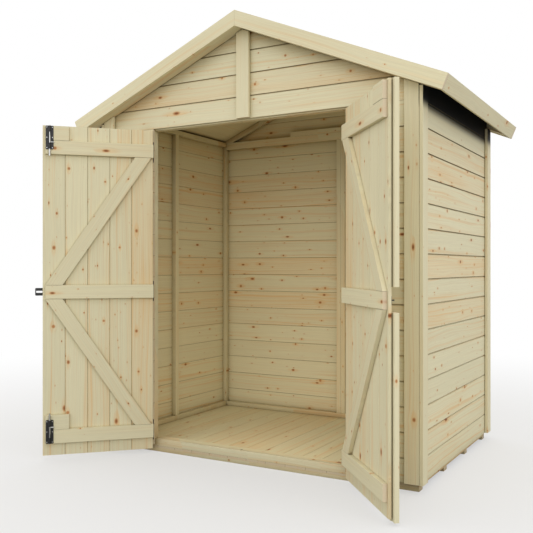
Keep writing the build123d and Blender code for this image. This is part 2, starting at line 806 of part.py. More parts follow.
# Staple on the right door: a level loop of wire that comes through the slot of the hasp
loop_left, loop_right = staple_x
loop_out = front_cladding - staple_reach
loop_root = front_cladding - 1
with BuildPart() as hasp_staple:
    foot_x = (loop_left - 2, loop_right + 4)
    foot_z = (hasp_z - staple_foot_height / 2, hasp_z + staple_foot_height / 2)
    timber(foot_x, (front_cladding - hasp_thick, front_cladding - seat_gap), foot_z)
    with BuildSketch(Plane.XY.offset(hasp_z - staple_wire / 2)):
        with BuildLine():
            FilletPolyline(
                (loop_left, loop_root),
                (loop_left, loop_out),
                (loop_right, loop_out),
                (loop_right, loop_root),
                radius=staple_wire + 1,
            )
            inner_left = loop_left + staple_wire
            inner_right = loop_right - staple_wire
            FilletPolyline(
                (inner_left, loop_root),
                (inner_left, loop_out + staple_wire),
                (inner_right, loop_out + staple_wire),
                (inner_right, loop_root),
                radius=1,
            )
            Line((loop_left, loop_root), (inner_left, loop_root))
            Line((loop_right, loop_root), (inner_right, loop_root))
        make_face()
    extrude(amount=staple_wire)
finish(swung(hasp_staple.part, 1, right_door_opening), "hasp_staple")
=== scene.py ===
import json
import math
from functools import partial
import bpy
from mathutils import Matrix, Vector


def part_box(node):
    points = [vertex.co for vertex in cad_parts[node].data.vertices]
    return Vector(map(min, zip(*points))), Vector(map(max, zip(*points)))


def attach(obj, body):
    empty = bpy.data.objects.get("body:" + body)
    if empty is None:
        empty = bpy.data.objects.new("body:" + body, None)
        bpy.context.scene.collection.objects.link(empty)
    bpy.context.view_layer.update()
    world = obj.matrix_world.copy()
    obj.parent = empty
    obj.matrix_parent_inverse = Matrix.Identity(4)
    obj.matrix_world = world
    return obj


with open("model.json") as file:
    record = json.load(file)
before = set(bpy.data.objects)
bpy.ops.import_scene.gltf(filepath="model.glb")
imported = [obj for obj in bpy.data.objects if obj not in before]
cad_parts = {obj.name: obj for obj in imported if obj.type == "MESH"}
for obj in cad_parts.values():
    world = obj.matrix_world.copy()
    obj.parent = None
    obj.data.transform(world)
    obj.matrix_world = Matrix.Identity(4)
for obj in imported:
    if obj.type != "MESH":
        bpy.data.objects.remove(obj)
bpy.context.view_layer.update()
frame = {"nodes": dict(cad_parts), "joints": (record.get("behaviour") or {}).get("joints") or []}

from types import SimpleNamespace

import bmesh
import bpy
from bpy.props import FloatProperty, FloatVectorProperty, PointerProperty
from mathutils import Matrix, Vector

bl_info = {
    "name": "Garden shed looks",
    "version": (1, 0, 0),
    "blender": (4, 5, 0),
    "location": "View3D > Sidebar > Shed",
    "description": "Timber, felt, steel fittings and a plain studio for a small apex shed",
    "category": "Object",
}

MM = 0.001
X, Y, Z = Vector((1, 0, 0)), Vector((0, 1, 0)), Vector((0, 0, 1))

# Distance between the rows of knots across a board, for sound knots and pin knots
KNOT_ROW = 56 * MM
PIN_KNOT_ROW = 37 * MM

# Steel: bumps of the powder coat, and drawn lines in a metre across and along the bolt rods
ORANGE_PEEL = 1.2 * MM
DRAWN_LINES = (900, 900, 40)

# Roof, with the felt's lighter and darker patches in a metre
ROOF_RISE = 440.5 * MM
ROOF_RUN = 1044 * MM
PITCH = math.atan2(ROOF_RISE, ROOF_RUN)
UP_SLOPE = Vector((math.cos(PITCH), 0, -math.sin(PITCH)))
OFF_SLOPE = Vector((math.sin(PITCH), 0, math.cos(PITCH)))
RIDGE_FOLD = (0, 0.0)
FELT_THICK = 2.5 * MM
RIDGE_CAP_REACH = 160 * MM
CLOUT_HEAD_THICK = 0.8 * MM
FELT_PATCHES = 5.0

# Walls and floor
CLADDING_FIRST = 34.5 * MM
FLOOR_BOARD_COVER = 110 * MM
WALL_RAIL_HEIGHT = 29 * MM
END_RAIL_DROP = 18 * MM
WALL_OUTSIDE = 900 * MM
ROOM_HALF = 870 * MM

# Doors, with places as they are when the doors are shut
DOOR_BOARD_EDGE = 115 * MM
BRACE_REACH = 460 * MM
PIN_X = 563.5 * MM
PIN_Y = -47 * MM
LEDGE_HEIGHTS = (119.5 * MM, 854 * MM, 1590 * MM)

# Screws in the hinges, the hasp and its staple, and the bolt plates
HINGE_FACE = -45 * MM
STRAP_SCREWS = (45 * MM, 120 * MM, 200 * MM, 280 * MM)
LEAF_SCREWS = (-38 * MM, 0, 38 * MM)
LEAF_SCREW_OUT = 20 * MM
HASP_FACE = -44 * MM
HASP_HEIGHT = 855 * MM
HASP_SCREWS = ((-56 * MM, -12 * MM), (-56 * MM, 12 * MM), (-38 * MM, -12 * MM), (-38 * MM, 12 * MM))
STAPLE_SCREWS = ((16 * MM, -10.5 * MM), (16 * MM, 10.5 * MM))
BOLT_FACE = -9 * MM
BOLT_X = -36.5 * MM
BOLT_PLATES = ((86 * MM, 206 * MM), (1578 * MM, 1698 * MM))
BOLT_SCREW_ASIDE = 13.5 * MM
BOLT_SCREW_END = 8 * MM

# Timbers are numbered along a direction, from a place outside the shed, one for each stretch
BOARDS_BEFORE = 40
COUNT_FROM = -20.0
BY_PLACE = (Vector((1.0, 1.0, 0.35)), COUNT_FROM, 0.4)
TRIM_STRETCH = 0.9
LEDGE_STRETCH = 0.31
SIDE_STRETCH = 20.0
ONE_STRETCH = 40.0

# Painted shade in joints and corners: open air at and below which it is full, at which it ends, and light
# left
CREVICE_SHADE = (0.15, 0.7, 0.42)
CORNER_SHADE = (0.1, 0.95, 0.45)
SHADE_GREEN = 1.13
SHADE_BLUE = 1.45
SEAM_SHARE = 0.5
SAWN_SHARE = 0.65

# Settings that many nodes share
SOFT = {"interpolation_type": "SMOOTHSTEP"}
TINTS = {"data_type": "RGBA"}

# Where the lamps stand, where they look, and their width and height
KEY_LAMP = ((3.2, -6.2, 2.1), (0, 0, 0.9), (3.6, 3.0))
SIDE_LAMP = ((6.6, -1.0, 2.4), (0, 0.5, 1.0), (3.6, 3.0))
LEFT_LAMP = ((-5.6, -3.0, 1.0), (0.8, -0.4, 0.8), (3.0, 2.0))
DOORWAY_LAMP = ((0, 0.045, 0.66), (0, 1.075, 0.56), (1.04, 1.1))
FLOOR_REACH = 40.0
FLOOR_DROP = 0.3 * MM
FLOOR_MIDDLE = (0.2, 0.2, 0)
FADE_START = 1.6
FADE_END = 5.4
FADE_FIRST = 0.48


def linear(hex_colour):
    """An sRGB hex colour as linear red, green, blue and alpha."""
    parts = [int(hex_colour[i:i + 2], 16) / 255 for i in (1, 3, 5)]
    return [c / 12.92 if c <= 0.04045 else ((c + 0.055) / 1.055) ** 2.4 for c in parts] + [1.0]


def colour(label, words, default):
    """A colour property with an sRGB hex default."""
    return FloatVectorProperty(
        name=label, description=words, default=linear(default), size=4, min=0, max=1, subtype="COLOR"
    )


def size(label, words, default, most=10.0):
    """A length property in metres."""
    return FloatProperty(
        name=label, description=words, default=default, min=0, max=most, unit="LENGTH", precision=4
    )


class TimberSettings(bpy.types.PropertyGroup):
    """Colours and pattern sizes of the planed spruce"""

    pale: colour("Pale wood", "Freshly planed early wood", "#DDD5B3")
    warm: colour("Warm wood", "Heartwood streaks", "#DDBF8F")
    knot: colour("Knot", "Rim of a sound knot", "#BC7D43")
    heart: colour("Knot heart", "Dark middle of a knot", "#6B3212")
    end_grain: colour("End grain", "Sawn ends of the timbers", "#D8C4AA")
    seam: colour("Seam", "Shaded slit between two boards", "#75592F")
    # Painted shade: near black painted under the eaves, on the walls' outer side and on the roof's underside
    # beyond the walls
    shade: colour("Deep shade", "Near black shade painted under the eaves", "#020202")
    streak: size("Streak width", "Width of one band of late wood", 9 * MM)
    fibre: size("Fibre width", "Width of the finest grain line", 1.6 * MM)
    knot_spacing: size("Knot spacing", "Distance between knots along a board", 170 * MM)
    knot_radius: size("Knot radius", "Radius of the largest knots", 9.5 * MM)
    board_cover: size("Board cover", "Height that one shiplap board shows", 112 * MM)
    slit: size("Slit", "Half the width of the slit in a V joint", 1.6 * MM)
    lap_shade: size("Lap shade", "Height of the shaded strip under a lap", 2.2 * MM)
    crevice: size("Crevice", "How far the shade of a close joint reaches", 16 * MM)
    corner: size("Corner", "How far the shade of a room's corner reaches", 90 * MM)
    # The wall under the eaves is painted dark as shade above this height, fading over the height below
    eave_dark: size("Eave dark", "Height above which the wall under the eaves is dark", 1714 * MM)
    eave_soft: size("Eave fade", "Height of the soft edge below that shade", 55 * MM)


class RoofSettings(bpy.types.PropertyGroup):
    """Roof covering"""

    felt: colour("Felt", "Mineral granules", "#4A4E4C")
    felt_dark: colour("Felt shade", "Bitumen between the granules", "#26282A")
    granule: size("Granule", "Size of the mineral granules", 2.2 * MM)
    nail_radius: size("Nail head", "Radius of a clout nail's head", 4.5 * MM)
    nail_spacing: size("Nail spacing", "Distance between the felt's nails", 120 * MM)
    nail_inset: size("Nail inset", "Distance of the nails from the felt's edge", 18 * MM)


class FittingSettings(bpy.types.PropertyGroup):
    """Hinges, bolts and hasp"""

    black: colour("Black coat", "Powder coat on the steel plates", "#151516")
    black_high: colour("Black coat high", "Tops of the coat's fine orange peel", "#232325")
    zinc: colour("Zinc", "Zinc plating on the bolt rods", "#DADAD6")
    zinc_line: colour("Zinc line", "Drawn lines in the zinc plating", "#BDBEC0")
    strap_screw: size("Strap screw", "Radius of the screw heads on hinges and hasp", 3.6 * MM)
    plate_screw: size("Plate screw", "Radius of the screw heads on the bolt plates", 2.8 * MM)


class StudioSettings(bpy.types.PropertyGroup):
    """Camera, floor and lamps"""

    camera_place: FloatVectorProperty(
        name="Camera place", description="Where the camera stands", default=(1.908, -3.1485, 0.984),
        subtype="TRANSLATION", unit="LENGTH",
    )
    camera_turn: FloatProperty(
        name="Camera turn", description="Turn of the level camera about the vertical",
        default=math.radians(29.8126), subtype="ANGLE",
    )
    lens: FloatProperty(name="Lens", description="Focal length in millimetres", default=49.84, min=10)
    floor: colour("Floor", "Pale studio floor", "#D5D4D2")
    floor_bounce: colour("Floor bounce", "Light that the floor gives back to the shed", "#9A9994")
    doorway: colour("Doorway light", "Light that has come off the wood of the doorway", "#FFF3D9")
    sky_strength: FloatProperty(name="Sky", description="Strength of the even light", default=1.14, min=0)
    key_power: FloatProperty(
        name="Key lamp", description="Power of the lamp in front", default=61.0, min=0, unit="POWER"
    )
    side_power: FloatProperty(
        name="Side lamp", description="Power of the lamp on the right", default=35.0, min=0, unit="POWER"
    )
    left_power: FloatProperty(
        name="Left lamp", description="Power of the lamp on the left", default=30.0, min=0, unit="POWER"
    )
    door_power: FloatProperty(
        name="Doorway lamp", description="Power of the lamp inside the doorway", default=2.4, min=0,
        unit="POWER",
    )


def add_node(tree, kind, *given, **settings):
    """Add one node with its settings and links.

    The kind may name an operation too, as in "Math ADD". What is given fills the sockets in order, or
    by name where it is a dict. A node that is given stands for its first output.
    """
    kind, _, operation = kind.partition(" ")
    made = tree.nodes.new("ShaderNode" + kind)
    if operation:
        made.operation = operation
    for key, value in settings.items():
        setattr(made, key, value)
    if given and isinstance(given[0], dict):
        filled = [(made.inputs[name], value) for name, value in given[0].items()]
    else:
        filled = zip([socket for socket in made.inputs if socket.enabled], given)
    for socket, value in filled:
        if isinstance(value, bpy.types.Node):
            value = next(output for output in value.outputs if output.enabled)
        if isinstance(value, bpy.types.NodeSocket):
            tree.links.new(value, socket)
        else:
            socket.default_value = value
    return made


def new_material(name):
    """A material without nodes, and add_node for its tree."""
    material = bpy.data.materials.new(name)
    material.use_nodes = True
    material.node_tree.nodes.clear()
    return material, partial(add_node, material.node_tree)


def knots_of_size(node, board, spacing, row, largest, share):
    """Knots of one size: one chance in each cell of a jittered grid, round in real size.

    board has the place along it and across it, and its share of knots. In the result, near is the
    distance from the knot and long the one that reaches further along the board, both in radii of the
    knot. there is 1 where the cell has a knot, aside is the way across the board from the knot, and
    depth is a number for how dark its heart is.
    """
    run, across = board.run, board.across
    cells = node("CombineXYZ", node("Math DIVIDE", run, spacing), node("Math DIVIDE", across, row), 0.0)
    cell = node("TexVoronoi", cells, 1.0, voronoi_dimensions="2D").outputs
    place = node("SeparateXYZ", cell["Position"]).outputs
    pick = node("SeparateXYZ", cell["Color"]).outputs
    along = node("Math MULTIPLY_ADD", place[0], -spacing, run)
    aside = node("Math MULTIPLY_ADD", place[1], -row, across)
    longer = node("Math MULTIPLY_ADD", node("Math POWER", pick[0], 3.0), 1.6, 1.0)
    along = node("Math DIVIDE", along, longer)
    stretched = node("Math MULTIPLY", along, 0.45)
    radius = node("Math MULTIPLY_ADD", node("Math POWER", pick[1], 2.0), largest * 0.72, largest * 0.28)
    ratios = []
    for way in (along, stretched):
        squares = [node("Math MULTIPLY", part, part) for part in (way, aside)]
        ratios.append(node("Math DIVIDE", node("Math SQRT", node("Math ADD", *squares)), radius))
    there = node("Math LESS_THAN", pick[2], node("Math MULTIPLY", board.share, share))
    return SimpleNamespace(near=ratios[0], long=ratios[1], there=there, aside=aside, depth=pick[0])


def spruce_figure(timber):
    """Planed spruce: flowing bands of late wood, warm heartwood patches and small sound knots.

    The group takes a point along the board and across it, in metres, and a number for the board.
    """
    group = bpy.data.node_groups.new("planed_spruce_figure", "ShaderNodeTree")
    face = group.interface
    for name in ("Run", "Across", "Board", "Knots", "Warmth"):
        face.new_socket(name, in_out="INPUT", socket_type="NodeSocketFloat")
    face.new_socket("Color", in_out="OUTPUT", socket_type="NodeSocketColor")
    face.new_socket("Height", in_out="OUTPUT", socket_type="NodeSocketFloat")
    given = group.nodes.new("NodeGroupInput").outputs
    node = partial(add_node, group)

    # Each board is cut from another place in the tree
    chance = node("TexWhiteNoise", given["Board"], noise_dimensions="1D")
    luck = node("SeparateXYZ", chance.outputs["Color"]).outputs
    run = node("Math MULTIPLY_ADD", luck[0], 37.0, given["Run"])
    across = node("Math MULTIPLY_ADD", luck[1], 11.0, given["Across"])

    # Sound knots of up to the full size, and pin knots of less than half of it
    place = SimpleNamespace(run=run, across=across, share=given["Knots"])
    spacing, radius = timber.knot_spacing, timber.knot_radius
    big = knots_of_size(node, place, spacing, KNOT_ROW, radius, 0.38)
    pin = knots_of_size(node, place, spacing * 0.55, PIN_KNOT_ROW, radius * 0.46, 0.3)

    # Each part of a knot fades between two distances from its middle, at a strength
    marks = {}
    for name, distance, start, full, strength in (
        ("rim", big.near, 1.35, 0.6, big.there),
        ("heart", big.near, 0.8, 0.25, node("Math MULTIPLY", big.there, big.depth)),
        ("halo", big.near, 4.5, 0.9, big.there),
        ("glow", big.long, 2.4, 0.9, big.there),
        ("pin_rim", pin.near, 1.25, 0.5, node("Math MULTIPLY", pin.there, 0.6)),
        ("pin_glow", pin.long, 2.4, 0.8, node("Math MULTIPLY", pin.there, 0.5)),
    ):
        marks[name] = node("Math MULTIPLY", node("MapRange", distance, start, full, **SOFT), strength)
    rim = node("Math MAXIMUM", marks["rim"], marks["pin_rim"])
    glow = node("Math MAXIMUM", marks["glow"], marks["pin_glow"])

    # Grain lines run along the board, wander slowly, and part around a knot
    slow = node("CombineXYZ", node("Math MULTIPLY", run, 1.3), node("Math MULTIPLY", across, 7.0), 0.0)
    wander = node("Math SUBTRACT", node("TexNoise", slow, 1.0, 2.0), 0.5)
    push = node("Math MULTIPLY", marks["halo"], node("Math MULTIPLY", big.aside, -0.55))
    flow = node("Math ADD", node("Math MULTIPLY_ADD", wander, 55 * MM, across), push)

    # Layers of grain: changes in a metre along the board, width across it, detail, and place in the noise
    grain = {}
    for name, line, often, width, detail, seed in (
        ("patches", across, 1.1, 1 / 13, 1.5, 7.0),
        ("stripes", flow, 0.35, timber.streak * 1.9, 1.0, 13.0),
        ("bands", flow, 0.45, timber.streak, 2.5, 3.0),
        ("lines", flow, 1.6, timber.streak * 0.32, 2.0, 9.0),
        ("fibres", flow, 14.0, timber.fibre, 2.0, 5.0),
    ):
        point = node("CombineXYZ", node("Math MULTIPLY", run, often), node("Math DIVIDE", line, width), seed)
        grain[name] = node("TexNoise", point, 1.0, detail)

    # Warm heartwood: a tone for the whole board, and a share of each layer between two of its values
    warm = node("Math MULTIPLY_ADD", luck[2], 0.46, -0.1)
    for name, start, full, share in (
        ("patches", 0.44, 0.78, 0.36),
        ("stripes", 0.56, 0.7, 0.42),
        ("bands", 0.48, 0.7, 0.3),
        ("lines", 0.5, 0.72, 0.26),
    ):
        layer = node("MapRange", grain[name], start, full, **SOFT)
        warm = node("Math MULTIPLY_ADD", layer, share, warm)
    warm = node("Math MULTIPLY", warm, given["Warmth"])
    warm = node("Math MULTIPLY_ADD", glow, 0.4, warm)
    warm = node("MapRange", warm, 0.0, 1.0, **SOFT)
    wood = node("Mix", warm, list(timber.pale), list(timber.warm), **TINTS)

    # Fine light and dark of the fibres and lines, then the knots over it
    level = node("Math MULTIPLY_ADD", luck[1], 0.05, 0.95)
    level = node("Math MULTIPLY_ADD", grain["fibres"], 0.12, level)
    dark_lines = node("MapRange", grain["lines"], 0.35, 0.65, **SOFT)
    level = node("Math MULTIPLY_ADD", dark_lines, -0.07, level)
    grey = node("CombineXYZ", level, level, level)
    tint = node("Mix", 1.0, wood, grey, blend_type="MULTIPLY", **TINTS)
    for mark, tone in ((rim, timber.knot), (marks["heart"], timber.heart)):
        tint = node("Mix", node("Math MULTIPLY", mark, 0.85), tint, list(tone), **TINTS)
    height = node("Math MULTIPLY_ADD", grain["bands"], 0.35, node("Math MULTIPLY", grain["fibres"], 0.25))
    height = node("Math MULTIPLY_ADD", rim, 0.5, height)
    result = group.nodes.new("NodeGroupOutput").inputs
    group.links.new(tint.outputs[2], result["Color"])
    group.links.new(height.outputs[0], result["Height"])
    return group


def folded(node, place, normal, fold):
    """A place and a direction, mirrored beyond a plane. fold is (axis number, middle)."""
    axis, middle = fold
    parts = list(node("SeparateXYZ", place).outputs)
    ways = list(node("SeparateXYZ", normal).outputs)
    offset = node("Math SUBTRACT", parts[axis], middle)
    ways[axis] = node("Math MULTIPLY", ways[axis], node("Math SIGN", offset))
    parts[axis] = node("Math ABSOLUTE", offset)
    return node("CombineXYZ", *parts), node("CombineXYZ", *ways)


def seam_shade(node, timber, counted, cover, joint):
    """Painted shade in the slit between two boards: under the edge of a lap, or in the bottom of a V."""
    inside = node("Math FRACT", node("Math SUBTRACT", counted, 0.4 * MM / cover))
    left = node("Math SUBTRACT", 1.0, inside)
    if joint == "lap":
        gap, reach = left, timber.lap_shade
    else:
        gap, reach = node("Math MINIMUM", inside, left), timber.slit
    return node("MapRange", node("Math MULTIPLY", gap, cover), reach, reach * 0.5, 0.0, SEAM_SHARE)


def corner_shade(node, timber, room):
    """Painted shade in joints and inner corners, warmer than the wood because the light there comes off
    wood.
    """
    near = node("AmbientOcclusion", {"Distance": timber.crevice}, samples=6).outputs["AO"]
    lit = node("MapRange", near, *CREVICE_SHADE)
    if room:
        wide = node("AmbientOcclusion", {"Distance": timber.corner}, samples=6).outputs["AO"]
        lit = node("Math MULTIPLY", lit, node("MapRange", wide, *CORNER_SHADE))
    return node("CombineXYZ", lit, node("Math POWER", lit, SHADE_GREEN), node("Math POWER", lit, SHADE_BLUE))


def eave_shade(node, timber, spots, eave):
    """Painted deep shade, near black: on a wall's outer side above a height, or on the roof's underside
    beyond the walls.
    """
    from_middle = node("VectorMath DOT_PRODUCT", spots["Object"], X)
    aside = node("Math ABSOLUTE", from_middle)
    if eave == "roof":
        return node("Math GREATER_THAN", aside, WALL_OUTSIDE)
    outward = node("VectorMath DOT_PRODUCT", spots["Normal"], X)
    outward = node("Math MULTIPLY", outward, node("Math SIGN", from_middle))
    height = node("VectorMath DOT_PRODUCT", spots["Object"], Z)
    start = timber.eave_dark - timber.eave_soft
    dark = node("MapRange", height, start, timber.eave_dark, **SOFT)
    for measure, least in ((aside, ROOM_HALF), (outward, 0.5)):
        dark = node("Math MULTIPLY", dark, node("Math GREATER_THAN", measure, least))
    return dark


def timber_material(context, name, run, across, boards=BY_PLACE, fold=None, knots=1.0, warmth=1.0,
                    upright_between=None, joint=None, eave=None, room=False):
    """Planed spruce, untreated: pale, nearly matt, with its grain along run.

    The directions are vectors in the object's frame. boards is (direction, first edge, cover). fold is
    (axis number, middle): beyond that plane the pattern is mirrored. Between the heights upright_between
    the timbers stand upright instead. joint is "lap" for shiplap and "vee" for V jointed boards; their slits
    get painted shade. eave is "wall" for what stands under the eaves and "roof" for the underside above
    it; both get near black painted shade there. room widens the painted shade of inner corners, for what
    lines the room.
    """
    timber = context.scene.shed_timber
    figure = bpy.data.node_groups.get("planed_spruce_figure") or spruce_figure(timber)
    material, node = new_material(name)
    spots = node("TexCoord").outputs
    place, normal = spots["Object"], spots["Normal"]
    if fold:
        place, normal = folded(node, place, normal, fold)

    along = node("VectorMath DOT_PRODUCT", place, run)
    aside = node("VectorMath DOT_PRODUCT", place, across)
    way, first, cover = boards
    counted = node("Math SUBTRACT", node("VectorMath DOT_PRODUCT", place, way), first)
    counted = node("Math DIVIDE", counted, cover)
    if upright_between:
        low, high = upright_between
        up = node("VectorMath DOT_PRODUCT", place, Z)
        above, below = node("Math GREATER_THAN", up, low), node("Math LESS_THAN", up, high)
        stands = node("Math MULTIPLY", above, below)
        along, aside = node("Mix", stands, along, up), node("Mix", stands, aside, along)
    wood = node("Group", along, aside, node("Math FLOOR", counted), knots, warmth, node_tree=figure)
    tone = wood.outputs["Color"]

    # Sawn ends are pinker than planed faces
    if not upright_between:
        facing = node("Math ABSOLUTE", node("VectorMath DOT_PRODUCT", normal, run))
        sawn = node("MapRange", facing, 0.8, 0.95, 0.0, SAWN_SHARE)
        tone = node("Mix", sawn, tone, list(timber.end_grain), **TINTS)
    # Painted shade in the slits between boards
    if joint:
        shade = seam_shade(node, timber, counted, cover, joint)
        tone = node("Mix", shade, tone, list(timber.seam), **TINTS)
    # Painted shade in joints and corners, from how much open air is around each point
    tone = node("Mix", 1.0, tone, corner_shade(node, timber, room), blend_type="MULTIPLY", **TINTS)
    # Painted near black shade under the eaves, on the walls' outer side high up and on the roof's underside
    # beyond the walls
    if eave:
        dark = eave_shade(node, timber, spots, eave)
        tone = node("Mix", dark, tone, list(timber.shade), **TINTS)
    relief = node("Bump", {"Height": wood.outputs["Height"], "Strength": 0.25, "Distance": 0.4 * MM})
    shader = node("BsdfPrincipled", {
        "Base Color": tone, "Roughness": 0.62, "Specular IOR Level": 0.3, "Normal": relief,
    })
    node("OutputMaterial", shader)
    return material


def dress(material, *names):
    """Give CAD nodes their material."""
    for name in names:
        mesh = frame["nodes"][name].data
        mesh.materials.clear()
        mesh.materials.append(material)


def door_turn(door):
    """The turn that carries a point of a closed door to where it stands open in the frame."""
    joint = next(j for j in frame["joints"] if j["name"] == door + "_hinge")
    pin = Matrix.Translation(joint["pos_m"])
    opened = Matrix.Rotation(-math.radians(joint["range_deg"][0]), 4, Vector(joint["axis"]))
    return pin @ opened @ pin.inverted()


def surface_place(point, out_way, up_way):
    """A place on a surface: the way out of it is the Z of what stands there."""
    side_way = up_way.cross(out_way)
    turn = Matrix((side_way, up_way, out_way)).transposed().to_4x4()
    return Matrix.Translation(point) @ turn


def joined(name, pattern, places):
    """One mesh object from a copy of the pattern at each place."""
    mesh = bpy.data.meshes.new(name)
    whole = bmesh.new()
    for place in places:
        copied = pattern.copy()
        copied.transform(place)
        loose = bpy.data.meshes.new("loose")
        copied.to_mesh(loose)
        copied.free()
        whole.from_mesh(loose)
        bpy.data.meshes.remove(loose)
    whole.to_mesh(mesh)
    whole.free()
    pattern.free()
    piece = bpy.data.objects.new(name, mesh)
    bpy.context.scene.collection.objects.link(piece)
    return piece


def coated_steel(context):
    """Powder-coated steel: near black with a fine orange peel and a soft sheen."""
    made = bpy.data.materials.get("black_powder_coated_steel")
    if made:
        return made
    fittings = context.scene.shed_fittings
    material, node = new_material("black_powder_coated_steel")
    place = node("TexCoord").outputs["Object"]
    peel = node("TexNoise", place, 1 / ORANGE_PEEL, 2.0)
    tone = node("Mix", peel, list(fittings.black), list(fittings.black_high), **TINTS)
    relief = node("Bump", {"Height": peel, "Strength": 0.3, "Distance": 0.1 * MM})
    shader = node("BsdfPrincipled", {"Base Color": tone, "Roughness": 0.42, "Normal": relief})
    node("OutputMaterial", shader)
    return material


def zinc_steel(context):
    """Zinc-plated steel: bright, with faint lengthwise lines from drawing."""
    made = bpy.data.materials.get("zinc_plated_steel")
    if made:
        return made
    fittings = context.scene.shed_fittings
    material, node = new_material("zinc_plated_steel")
    place = node("TexCoord").outputs["Object"]
    stretched = node("Mapping", {"Vector": place, "Scale": DRAWN_LINES})
    drawn = node("TexNoise", stretched, 1.0, 2.0)
    rough = node("MapRange", drawn, 0.0, 1.0, 0.22, 0.42)
    tone = node("Mix", drawn, list(fittings.zinc), list(fittings.zinc_line), **TINTS)
    shader = node("BsdfPrincipled", {"Base Color": tone, "Metallic": 1.0, "Roughness": rough})
    node("OutputMaterial", shader)
    return material


def screw_head(radius):
    """A low countersunk head with a cross recess, its seat at height 0."""
    rise, sink, arm, half_slot, sides = radius * 0.34, radius * 0.28, radius * 0.6, radius * 0.15, 16
    head = bmesh.new()
    rings = []
    for reach, height in ((radius, 0.0), (radius * 0.94, rise * 0.6), (radius * 0.76, rise)):
        turns = [2 * math.pi * step / sides for step in range(sides)]
        rings.append([head.verts.new((reach * math.cos(a), reach * math.sin(a), height)) for a in turns])
    arm_corners = [(half_slot, half_slot), (half_slot, arm), (-half_slot, arm)]
    corners = []
    for quarter in range(4):
        turn = Matrix.Rotation(quarter * math.pi / 2, 2)
        corners += [turn @ Vector(corner) for corner in arm_corners]
    brim = [head.verts.new((c.x, c.y, rise)) for c in corners]
    bottom = [head.verts.new((c.x, c.y, rise - sink)) for c in corners]
    for low, high in ((rings[0], rings[1]), (rings[1], rings[2]), (brim, bottom)):
        count = len(low)
        for i in range(count):
            head.faces.new((low[i], low[(i + 1) % count], high[(i + 1) % count], high[i]))
    head.faces.new(bottom)
    loops = [edge for edge in head.edges if len(edge.link_faces) == 1 and edge.verts[0].co.z > rise * 0.9]
    bmesh.ops.triangle_fill(head, edges=loops, use_beauty=True)
    bmesh.ops.recalc_face_normals(head, faces=head.faces)
    return head


def clout_head(radius, thick):
    """The flat round head of a felt nail, with a worn edge."""
    head = bmesh.new()
    sides = 12
    ring = []
    for reach, height in ((radius, 0.0), (radius, thick * 0.6), (radius * 0.8, thick)):
        turns = [2 * math.pi * step / sides for step in range(sides)]
        ring.append([head.verts.new((reach * math.cos(a), reach * math.sin(a), height)) for a in turns])
    for low, high in zip(ring, ring[1:]):
        for i in range(sides):
            head.faces.new((low[i], low[(i + 1) % sides], high[(i + 1) % sides], high[i]))
    head.faces.new(ring[-1])
    return head


class SHED_OT_walls(bpy.types.Operator):
    """Planed shiplap on the four walls, with the grain along each board"""

    bl_idname = "shed.walls"
    bl_label = "Wall cladding"

    def execute(self, context):
        cover = context.scene.shed_timber.board_cover
        boards = (Z, CLADDING_FIRST - BOARDS_BEFORE * cover, cover)
        # The side walls' outer faces are painted near black as shade high under the eaves
        side = timber_material(
            context, "planed_spruce_side_shiplap", Y, Z, boards, joint="lap", eave="wall", room=True
        )
        dress(side, "left_wall_cladding", "right_wall_cladding")
        front = timber_material(context, "planed_spruce_front_shiplap", X, Z, boards, joint="lap")
        dress(front, "front_left_cladding")
        gable = timber_material(context, "planed_spruce_gable_shiplap", X, Z, boards, joint="lap", room=True)
        dress(gable, "front_right_cladding", "front_gable_cladding")
        back = timber_material(
            context, "planed_spruce_back_shiplap", X, Z, boards, knots=1.15, joint="lap", room=True
        )
        dress(back, "back_wall_cladding")
        return {"FINISHED"}


class SHED_OT_framing(bpy.types.Operator):
    """Planed framing: studs, rails, rafters and sill"""

    bl_idname = "shed.framing"
    bl_label = "Framing"

    def execute(self, context):
        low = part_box("left_wall_frame")[0].z + WALL_RAIL_HEIGHT
        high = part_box("left_wall_frame")[1].z - WALL_RAIL_HEIGHT
        side = timber_material(
            context, "planed_spruce_side_framing", Y, X, knots=0.5, upright_between=(low, high), room=True
        )
        dress(side, "left_wall_frame", "right_wall_frame")
        across = timber_material(
            context, "planed_spruce_cross_framing", X, Z, knots=0.6,
            upright_between=(low, high - END_RAIL_DROP), room=True,
        )
        dress(across, "back_wall_frame", "front_wall_frame")
        rail = timber_material(context, "planed_spruce_rail", X, Y + Z, knots=0.8, room=True)
        dress(rail, "door_head_rail", "door_sill", "floor_bearers")
        rafter = timber_material(
            context, "planed_spruce_rafter", UP_SLOPE, OFF_SLOPE, fold=RIDGE_FOLD, knots=0.5, room=True
        )
        dress(rafter, "front_gable_rafters", "back_gable_rafters")
        return {"FINISHED"}


class SHED_OT_floor(bpy.types.Operator):
    """Tongued and grooved floor boards that run from front to back"""

    bl_idname = "shed.floor"
    bl_label = "Floor boards"

    def execute(self, context):
        middle = (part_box("floor_boards")[0].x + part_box("floor_boards")[1].x) / 2
        boards = (X, middle - BOARDS_BEFORE * FLOOR_BOARD_COVER, FLOOR_BOARD_COVER)
        floor = timber_material(
            context, "planed_spruce_floor", Y, X, boards, knots=0.7, joint="vee", room=True
        )
        dress(floor, "floor_boards")
        return {"FINISHED"}


